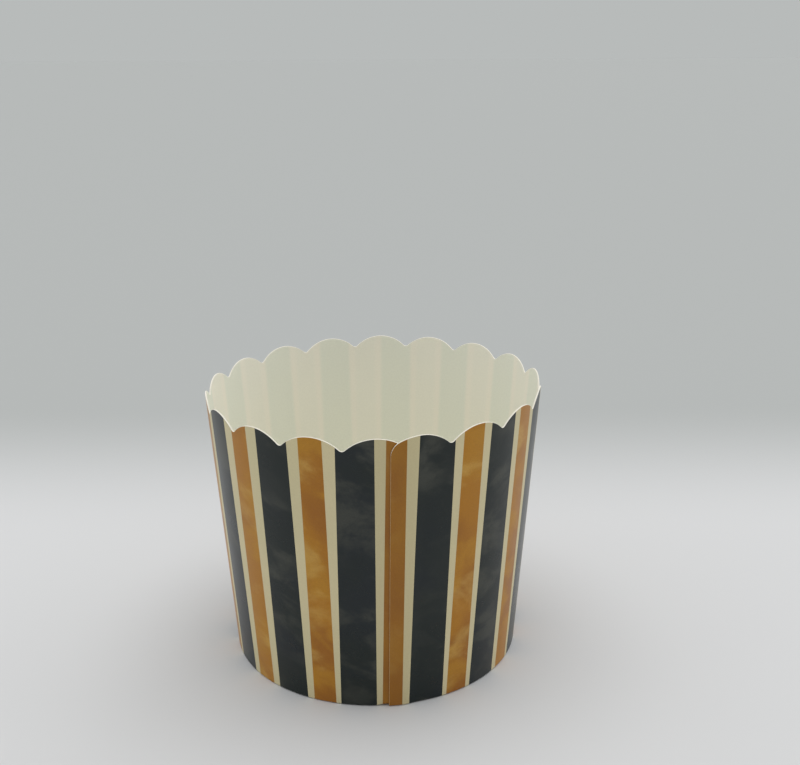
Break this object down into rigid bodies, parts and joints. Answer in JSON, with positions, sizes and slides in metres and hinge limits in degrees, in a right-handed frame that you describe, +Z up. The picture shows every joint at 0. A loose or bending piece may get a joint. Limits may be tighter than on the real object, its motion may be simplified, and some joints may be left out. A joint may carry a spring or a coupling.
{
  "type": "cupcake liner",
  "caption": "Free-standing round tapered paper baking cup with a scalloped rim and vertical stripes, open at the top.",
  "frame": {"origin": "centre of the cup's axis, on the surface that the cup stands on", "axes": "+Z up along the cup's axis, out of its open top; the cut edge of the glued flap is at -Y"},
  "size_m": [0.0683, 0.0685, 0.0578],
  "materials": {
    "printed_card": "satin",
    "plain_card": "satin"
  },
  "bodies": {
    "root": {"side_wall": "printed_card", "base_disc": "plain_card"}
  },
  "joints": []
}
